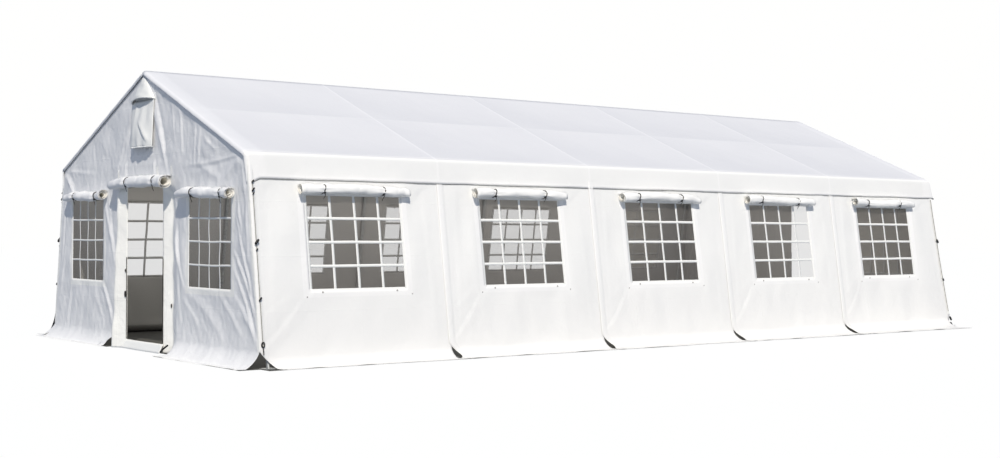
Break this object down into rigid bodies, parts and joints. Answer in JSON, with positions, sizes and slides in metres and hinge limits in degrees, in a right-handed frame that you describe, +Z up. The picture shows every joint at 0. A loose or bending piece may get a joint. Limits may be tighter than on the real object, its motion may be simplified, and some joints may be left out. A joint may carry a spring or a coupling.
{
  "type": "frame marquee tent",
  "caption": "Long gabled marquee of white coated sheeting over a steel tube frame, with windowed side walls, ground skirts and a roll-up doorway in each gable.",
  "frame": {"origin": "on the ground, at the middle of the footprint", "axes": "+X along the ridge towards the right gable, +Y towards the rear long wall, +Z up"},
  "size_m": [10.58, 5.64, 2.8699],
  "materials": {
    "galvanised_steel": "zinc-coated steel tube, dull spangled grey",
    "roof_sheeting": "white coated polyester sheeting, slightly translucent, soft sheen",
    "wall_sheeting": "white coated sheeting with welded seams and creases, soft sheen",
    "clear_film": "clear reinforced film, faint woven grid, glossy"
  },
  "bodies": {
    "root": {"portal_frame_1": "galvanised_steel", "portal_frame_2": "galvanised_steel", "portal_frame_3": "galvanised_steel", "portal_frame_4": "galvanised_steel", "portal_frame_5": "galvanised_steel", "portal_frame_6": "galvanised_steel", "front_eave_purlin": "galvanised_steel", "front_slope_purlin": "galvanised_steel", "ridge_purlin": "galvanised_steel", "rear_slope_purlin": "galvanised_steel", "rear_eave_purlin": "galvanised_steel", "roof_front_slope": "roof_sheeting", "roof_rear_slope": "roof_sheeting", "front_valance": "wall_sheeting", "rear_valance": "wall_sheeting", "front_wall_1": "wall_sheeting", "front_wall_2": "wall_sheeting", "front_wall_3": "wall_sheeting", "front_wall_4": "wall_sheeting", "front_wall_5": "wall_sheeting", "rear_wall_1": "wall_sheeting", "rear_wall_2": "wall_sheeting", "rear_wall_3": "wall_sheeting", "rear_wall_4": "wall_sheeting", "rear_wall_5": "wall_sheeting", "left_gable_top": "wall_sheeting", "left_gable_front_panel": "wall_sheeting", "left_gable_rear_panel": "wall_sheeting", "left_door_sill": "wall_sheeting", "left_vent_flap": "wall_sheeting", "left_vent_hood": "wall_sheeting", "right_gable_top": "wall_sheeting", "right_gable_front_panel": "wall_sheeting", "right_gable_rear_panel": "wall_sheeting", "right_door_sill": "wall_sheeting", "right_vent_flap": "wall_sheeting", "right_vent_hood": "wall_sheeting", "front_window_1": "clear_film", "front_window_2": "clear_film", "front_window_3": "clear_film", "front_window_4": "clear_film", "front_window_5": "clear_film", "rear_window_1": "clear_film", "rear_window_2": "clear_film", "rear_window_3": "clear_film", "rear_window_4": "clear_film", "rear_window_5": "clear_film", "left_gable_front_window": "clear_film", "left_gable_rear_window": "clear_film", "right_gable_front_window": "clear_film", "right_gable_rear_window": "clear_film"}
  },
  "joints": []
}
